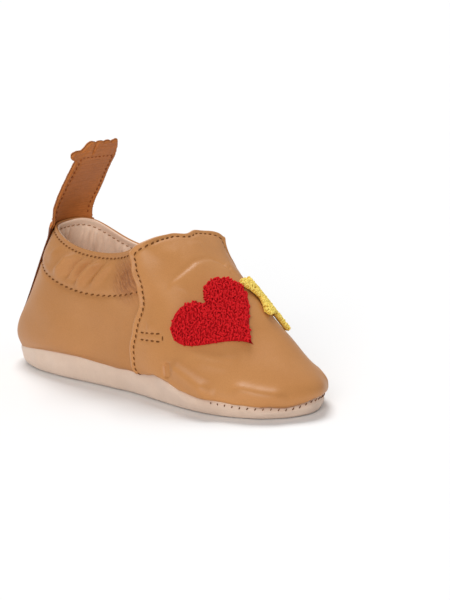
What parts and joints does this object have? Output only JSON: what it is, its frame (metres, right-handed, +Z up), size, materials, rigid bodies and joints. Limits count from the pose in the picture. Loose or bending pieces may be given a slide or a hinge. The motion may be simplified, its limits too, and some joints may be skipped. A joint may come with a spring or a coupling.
{
  "type": "kids slipper shoe",
  "caption": "Soft leather slip-on slipper for a small child's right foot, with suede sole, gathered collar, tongue flap, heel pull tab and looped patches.",
  "frame": {"origin": "on the floor, under the middle of the sole, on the sole's flat underside", "axes": "+X forwards from heel to toe, +Y towards the inner side of the foot, +Z up"},
  "size_m": [0.1353, 0.055, 0.0808],
  "materials": {
    "sole_suede": "cream suede, matt",
    "grip": "smooth matt pads",
    "footbed": "pale pink leather, matt",
    "quarter_leather": "tan smooth leather, satin",
    "vamp_leather": "tan smooth leather, satin",
    "tab_leather": "brown grained leather, satin",
    "red_loops": "looped yarn, matt",
    "yellow_loops": "looped yarn, matt"
  },
  "bodies": {
    "root": {"outsole": "sole_suede", "grip_ball": "grip", "grip_toe_1": "grip", "grip_toe_2": "grip", "grip_toe_3": "grip", "grip_toe_4": "grip", "insole": "footbed", "upper": "quarter_leather", "vamp": "vamp_leather", "pull_tab": "tab_leather", "patch_heart": "red_loops", "patch_star": "yellow_loops"}
  },
  "joints": []
}
